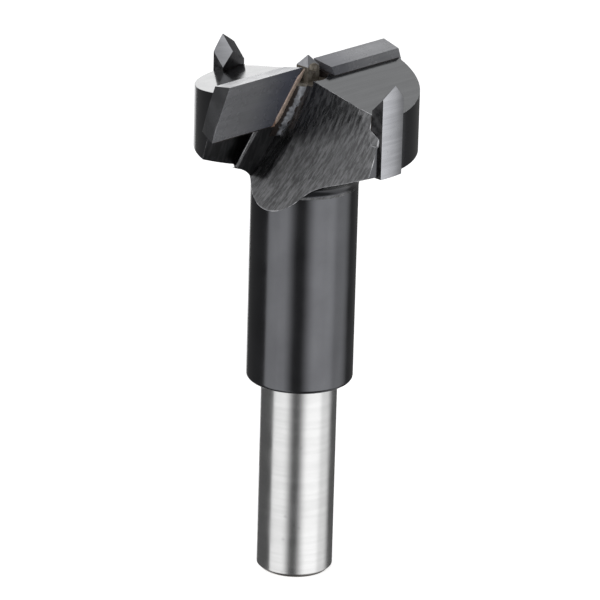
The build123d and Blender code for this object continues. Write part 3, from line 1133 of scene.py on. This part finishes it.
class BIT_OT_spurs(bpy.types.Operator):
    """Grinds the two scoring spurs"""

    bl_idname = "forstner.spurs"
    bl_label = "Spurs"

    def execute(self, context):
        sizes, finish = context.scene.bit_sizes, context.scene.bit_finish
        radius = sizes.cutting_radius
        left, right = SPUR_SIDES
        tip = Vector((0.66 * MM, -radius, sizes.edge_height + 0.49 * MM))
        spur = block("scoring_spur_1", (left, -radius, sizes.rim_bottom - 0.2 * MM),
                     (right, -radius + SPUR_DEPTH, tip.z + 0.5 * MM))
        inward = Vector((0, 1, -1))
        for low in (Vector((1.76, 0, -1.85)), Vector((-2.12, 0, -1.4))):
            slice_off(spur, tip, towards(low.cross(inward), (0, 0, 1)))
        keep_within(spur, radius)
        coat(spur,
             ground_carbide(finish, "ground_carbide_spur", (0.06, 0.06, 1.0), 0.13, 0.92,
                            spur_radius=radius),
             sintered_skin())
        for face in spur.data.polygons:
            face.material_index = int(face.normal.y > 0.9 or abs(face.normal.x) > 0.9)
        break_edges(spur, 0.03 * MM)
        finish_pair(spur, "scoring_spur_2", "carbide", "spur_1", "spur_2")
        return {"FINISHED"}


# Centre point

def flux_lump():
    """Uneven lump of flux residue beside the centre point."""
    source = random.Random(SEED + 2)
    deselect()
    bpy.ops.mesh.primitive_ico_sphere_add(subdivisions=4, radius=MM)
    blob = take("flux_blob")
    bumps = [(Vector([source.uniform(-1, 1) for _ in range(3)]).normalized(),
              source.uniform(-0.16, 0.2)) for _ in range(9)]
    for vertex in blob.data.vertices:
        way = vertex.co.normalized()
        swell = 1 + sum(size * max(0, way.dot(spot)) ** 4 for spot, size in bumps)
        vertex.co = Vector([middle + radius * part * swell for middle, radius, part
                            in zip(FLUX_MIDDLE, FLUX_RADII, way)]) * MM
    face_outwards(blob)
    bpy.ops.object.shade_smooth()
    return blob


class BIT_OT_point(bpy.types.Operator):
    """Grinds the four-sided centre point, with the flux beside it"""

    bl_idname = "forstner.point"
    bl_label = "Centre point"

    def execute(self, context):
        sizes, finish = context.scene.bit_sizes, context.scene.bit_finish
        half = 1.05 * MM
        tip_z = sizes.edge_height + 1.06 * MM
        base_z = tip_z - 1.27 * MM
        point = block("centre_pyramid", (-half, -half, 65 * MM), (half, half, base_z))
        select_parts(point, "FACE", lambda face: face.normal.z > 0.5)
        bpy.ops.mesh.extrude_region_move(
            TRANSFORM_OT_translate={"value": (0, 0, tip_z - base_z)})
        bpy.ops.object.mode_set(mode="OBJECT")
        for vertex in point.data.vertices:
            if vertex.co.z > tip_z - 0.1 * MM:
                vertex.co.x *= 0.05
                vertex.co.y *= 0.05
        face_outwards(point)
        coat(point, ground_carbide(finish, "ground_point_steel", (1.0, 1.0, 0.08), 0.24, 0.85),
             flux_residue_finish("flux_stained_stem", 0.5))
        for face in point.data.polygons:
            face.material_index = 0 if face.normal.z > 0.2 else 1
        break_edges(point, 0.03 * MM)
        finish_piece(point, "point_steel", "centre_point")

        blob = flux_lump()
        coat(blob, flux_residue_finish("flux_residue", 0.85))
        finish_piece(blob, "braze")
        return {"FINISHED"}


# Braze

def seam_bead(sizes):
    """Bead of filler along the front of the seam at the inner end of the plate on -X."""
    source = random.Random(SEED + 1)
    rings, around = 44, 10
    outer, shift, least_lift = 0.70 * MM, 0.15 * MM, 0.01
    high, low = sizes.edge_height - 0.35 * MM, sizes.edge_height - 8.15 * MM
    deselect()
    bpy.ops.mesh.primitive_cylinder_add(vertices=around, radius=MM, depth=2 * MM)
    bead = take("seam_bead_2")
    add_rings(bead, rings, MM)
    outward = leaning_normal(sizes)
    inner = [source.uniform(0.14, 0.32) for _ in range(rings + 2)]
    lift = [source.uniform(0.12, 0.17) for _ in range(rings + 2)]
    for vertex in bead.data.vertices:
        along = (1 - vertex.co.z / MM) / 2
        ring = min(int(round(along * (rings + 1))), rings + 1)
        taper = min(1.0, 6.0 * along + 0.25, 8.0 * (1 - along) + 0.15)
        across, out = vertex.co.x / MM, vertex.co.y / MM
        wide = outer if across < 0 else inner[ring] * MM
        seam = seam_point(sizes, high + (low - high) * along)
        place = seam + Vector((shift + across * wide * taper, 0, 0))
        vertex.co = place + outward * (least_lift + lift[ring] * out * taper) * MM
    face_outwards(bead)
    bpy.ops.object.shade_smooth()
    return bead


class BIT_OT_braze(bpy.types.Operator):
    """Lays the beads and finishes the brazed seams"""

    bl_idname = "forstner.braze"
    bl_label = "Brazed seams"

    def execute(self, context):
        sizes, finish = context.scene.bit_sizes, context.scene.bit_finish
        for kind, copper in (("cutter_braze", True), ("spur_braze", False)):
            filler = braze_filler(finish, sizes, kind + "_filler", copper)
            for number in ("_1", "_2"):
                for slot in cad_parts[kind + number].material_slots:
                    slot.material = filler
        bead = seam_bead(sizes)
        coat(bead, bead_finish(finish))
        finish_pair(bead, "seam_bead_1", "braze")
        return {"FINISHED"}


# Studio

def soft_panel_group():
    """One soft light panel, by direction: azimuth and elevation in degrees."""
    group, start, end = new_group(
        "Soft panel",
        [("Azimuth", "NodeSocketFloat", None), ("Elevation", "NodeSocketFloat", None),
         ("Centre", "NodeSocketFloat", 0.0), ("Half width", "NodeSocketFloat", 30.0),
         ("Side fade", "NodeSocketFloat", 6.0), ("Low", "NodeSocketFloat", -40.0),
         ("High", "NodeSocketFloat", 40.0), ("End fade", "NodeSocketFloat", 8.0)],
        [("Mask", "NodeSocketFloat")])
    get = start.outputs

    def below(value, edge, fade):
        return ramp(group, value, plus(group, get[edge], get[fade]),
                    minus(group, get[edge], get[fade]))

    off = minus(group, get["Azimuth"], get["Centre"])
    wrapped = new_node(group, "ShaderNodeMath", {"operation": "WRAP"}, _0=off, _1=180.0, _2=-180.0)
    inside = below(maths(group, "ABSOLUTE", wrapped.outputs[0]), "Half width", "Side fade")
    over = ramp(group, get["Elevation"], minus(group, get["Low"], get["End fade"]),
                plus(group, get["Low"], get["End fade"]))
    under = below(get["Elevation"], "High", "End fade")
    feed(group, end.inputs["Mask"], times(group, inside, times(group, over, under)))
    return group


# Azimuth from the camera's side, positive to its left: centre, half width, side fade,
# lowest and highest elevation, end fade, strength
PANELS = (
    (60.0, 21.0, 3.0, -56.0, 10.0, 9.0, 1.32),
    (45.0, 21.0, 16.0, -60.0, 30.0, 10.0, 1.36),
    (86.0, 30.0, 10.0, -3.0, 52.0, 9.0, 1.12),
    (-48.0, 34.0, 18.0, -40.0, 7.0, 8.0, 1.60),
    (-86.0, 26.0, 16.0, -40.0, 7.0, 8.0, 1.08),
    (-118.0, 40.0, 18.0, -80.0, -40.0, 6.0, 0.52),
    (-101.0, 16.0, 8.0, 28.0, 48.0, 6.0, 0.70),
    (171.0, 12.0, 4.0, -50.0, 60.0, 8.0, 1.05),
    (180.0, 17.0, 5.0, -7.0, 14.0, 5.0, 1.65),
    (0.0, 34.0, 14.0, 40.0, 74.0, 8.0, 1.10),
)
ROOM_LIGHT = 0.12
WHITE = (1, 1, 1, 1)
FLOOR_RADIUS = 3.0
BACKDROP = {"Centre": 180.0, "Half_width": 16.0, "Side_fade": 4.0, "Low": 13.0, "High": 62.0,
            "End_fade": 7.0}


def studio_world(settings):
    """Soft panels around a dark room, with a white backdrop for the camera."""
    back = Vector((math.sin(settings.azimuth), -math.cos(settings.azimuth), 0))
    left = Vector((-math.cos(settings.azimuth), -math.sin(settings.azimuth), 0))
    world = bpy.data.worlds.new("studio")
    tree = empty_tree(world)
    direction = tree.nodes.new("ShaderNodeTexCoord").outputs["Generated"]
    near, side = (new_node(tree, "ShaderNodeVectorMath", {"operation": "DOT_PRODUCT"},
                           _0=direction, _1=way).outputs["Value"] for way in (back, left))
    azimuth = maths(tree, "DEGREES", maths(tree, "ARCTAN2", side, near))
    elevation = maths(tree, "DEGREES", maths(tree, "ARCSINE", axes(tree, direction)["Z"]))
    group = soft_panel_group()
    total = ROOM_LIGHT
    for centre, half, fade, low, high, end_fade, strength in PANELS:
        panel = use_group(tree, group, Azimuth=azimuth, Elevation=elevation, Centre=centre,
                          Half_width=half, Side_fade=fade, Low=low, High=high, End_fade=end_fade)
        total = maths(tree, "MAXIMUM", total, times(tree, panel[0], strength))
    lights = new_node(tree, "ShaderNodeBackground", Color=WHITE, Strength=total)
    white = new_node(tree, "ShaderNodeBackground", Color=WHITE, Strength=1.0)
    path = tree.nodes.new("ShaderNodeLightPath").outputs
    behind = use_group(tree, group, Azimuth=azimuth, Elevation=elevation, **BACKDROP)[0]
    mirrored = maths(tree, "MAXIMUM", path["Is Glossy Ray"], path["Is Transmission Ray"])
    seen = maths(tree, "MAXIMUM", path["Is Camera Ray"], times(tree, mirrored, behind))
    choose = new_node(tree, "ShaderNodeMixShader", _0=seen, _1=lights.outputs[0],
                      _2=white.outputs[0])
    new_node(tree, "ShaderNodeOutputWorld", Surface=choose.outputs[0])
    return world


def floor_finish():
    """White floor that keeps the bit's soft shadow."""
    material = bpy.data.materials.new("studio_floor")
    tree = empty_tree(material)
    matte = new_node(tree, "ShaderNodeBsdfDiffuse", Color=(0.9, 0.9, 0.9, 1))
    by_camera = tree.nodes.new("ShaderNodeLightPath").outputs["Is Camera Ray"]
    glow = new_node(tree, "ShaderNodeEmission", Color=WHITE, Strength=times(tree, by_camera, 0.8))
    both = new_node(tree, "ShaderNodeAddShader", _0=matte.outputs[0], _1=glow.outputs[0])
    new_node(tree, "ShaderNodeOutputMaterial", Surface=both.outputs[0])
    return material


class BIT_OT_stage(bpy.types.Operator):
    """Sets up the floor, the light and the camera"""

    bl_idname = "forstner.stage"
    bl_label = "Studio"

    def execute(self, context):
        settings = context.scene.bit_studio
        deselect()
        bpy.ops.mesh.primitive_circle_add(vertices=96, radius=FLOOR_RADIUS, fill_type="NGON")
        floor = take("floor")
        coat(floor, floor_finish())
        floor.visible_glossy = False
        context.scene.world = studio_world(settings)

        flat = Vector((math.cos(settings.azimuth), math.sin(settings.azimuth), 0))
        back = Vector((math.sin(settings.azimuth) * math.cos(settings.elevation),
                       -math.cos(settings.azimuth) * math.cos(settings.elevation),
                       math.sin(settings.elevation)))
        up = back.cross(flat)
        turned = math.cos(settings.roll) * flat + math.sin(settings.roll) * up
        risen = -math.sin(settings.roll) * flat + math.cos(settings.roll) * up
        place = settings.distance * back - settings.aim_right * turned - settings.aim_up * risen
        bpy.ops.object.camera_add()
        camera = take("camera")
        rotation = Matrix((turned, risen, back)).transposed().to_4x4()
        camera.matrix_world = Matrix.Translation(place) @ rotation
        camera.data.sensor_width = 36.0
        camera.data.lens = settings.lens
        camera.data.clip_start = 0.05
        camera.data.clip_end = 20.0
        context.scene.camera = camera
        context.scene.view_settings.view_transform = "Standard"
        return {"FINISHED"}


class BIT_PT_sidebar(bpy.types.Panel):
    """Lists the steps that build the bit"""

    bl_idname = "BIT_PT_sidebar"
    bl_label = "Forstner bit"
    bl_space_type = "VIEW_3D"
    bl_region_type = "UI"
    bl_category = "Forstner bit"

    def draw(self, context):
        for operator in OPERATORS:
            self.layout.operator(operator.bl_idname)


OPERATORS = (BIT_OT_stage, BIT_OT_body, BIT_OT_cutters, BIT_OT_spurs, BIT_OT_point, BIT_OT_braze)
CLASSES = (BitSizes, BitFinish, StudioSettings) + OPERATORS + (BIT_PT_sidebar,)


def register():
    for made in CLASSES:
        bpy.utils.register_class(made)
    bpy.types.Scene.bit_sizes = PointerProperty(type=BitSizes)
    bpy.types.Scene.bit_finish = PointerProperty(type=BitFinish)
    bpy.types.Scene.bit_studio = PointerProperty(type=StudioSettings)


def unregister():
    del bpy.types.Scene.bit_sizes
    del bpy.types.Scene.bit_finish
    del bpy.types.Scene.bit_studio
    for made in reversed(CLASSES):
        bpy.utils.unregister_class(made)


def main():
    register()
    bpy.ops.forstner.stage()
    bpy.ops.forstner.body()
    bpy.ops.forstner.cutters()
    bpy.ops.forstner.spurs()
    bpy.ops.forstner.point()
    bpy.ops.forstner.braze()


if __name__ == "__main__":
    main()
